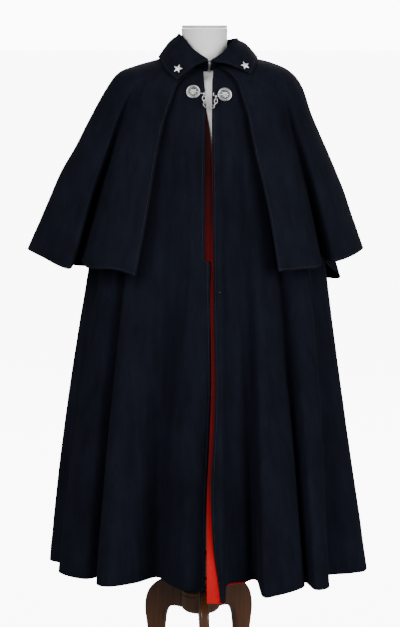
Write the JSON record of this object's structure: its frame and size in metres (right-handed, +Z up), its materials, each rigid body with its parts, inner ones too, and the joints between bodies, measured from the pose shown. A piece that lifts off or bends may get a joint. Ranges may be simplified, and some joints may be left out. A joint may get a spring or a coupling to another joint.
{
  "type": "cloak on a dress form",
  "caption": "Long dark wool cloak with a shoulder cape, turned-down collar and chain clasp, on a limbless dress form with a wooden three-legged stand.",
  "frame": {"origin": "on the floor under the centre of the bounding box", "axes": "+Z up, the closed front faces -Y, +X is the wearer's left"},
  "size_m": [0.7645, 0.733, 1.57],
  "materials": {
    "navy_wool": "dense fulled navy wool with a very short nap",
    "red_facing_cloth": "smooth red wool facing cloth",
    "grey_form_cloth": "pale grey stretched jersey",
    "dark_wood": "dark stained wood, glossy varnish",
    "silver_metal": "polished silver-coloured metal",
    "dark_metal": "blackened wire"
  },
  "bodies": {
    "root": {"boss_left": "silver_metal", "boss_right": "silver_metal", "cape_left": "navy_wool", "cape_right": "navy_wool", "chain_link_1": "silver_metal", "chain_link_2": "silver_metal", "chain_link_3": "silver_metal", "chain_link_4": "silver_metal", "chain_link_5": "silver_metal", "chain_link_6": "silver_metal", "chain_link_7": "silver_metal", "chain_link_8": "silver_metal", "chain_link_9": "silver_metal", "clasp_eye": "silver_metal", "clasp_hook": "silver_metal", "cloak_back_left": "navy_wool", "cloak_back_right": "navy_wool", "cloak_front_left": "navy_wool", "cloak_front_right": "navy_wool", "collar_fall": "navy_wool", "collar_hook": "dark_metal", "collar_stand": "navy_wool", "collar_star_left": "silver_metal", "collar_star_right": "silver_metal", "form_neck_cap": "grey_form_cloth", "form_torso": "grey_form_cloth", "front_facing": "red_facing_cloth", "front_stud": "silver_metal", "stand_column": "dark_wood", "stand_hub": "dark_wood", "stand_leg_front": "dark_wood", "stand_leg_left": "dark_wood", "stand_leg_right": "dark_wood", "stand_plate": "dark_wood", "upper_lining": "red_facing_cloth"}
  },
  "joints": []
}
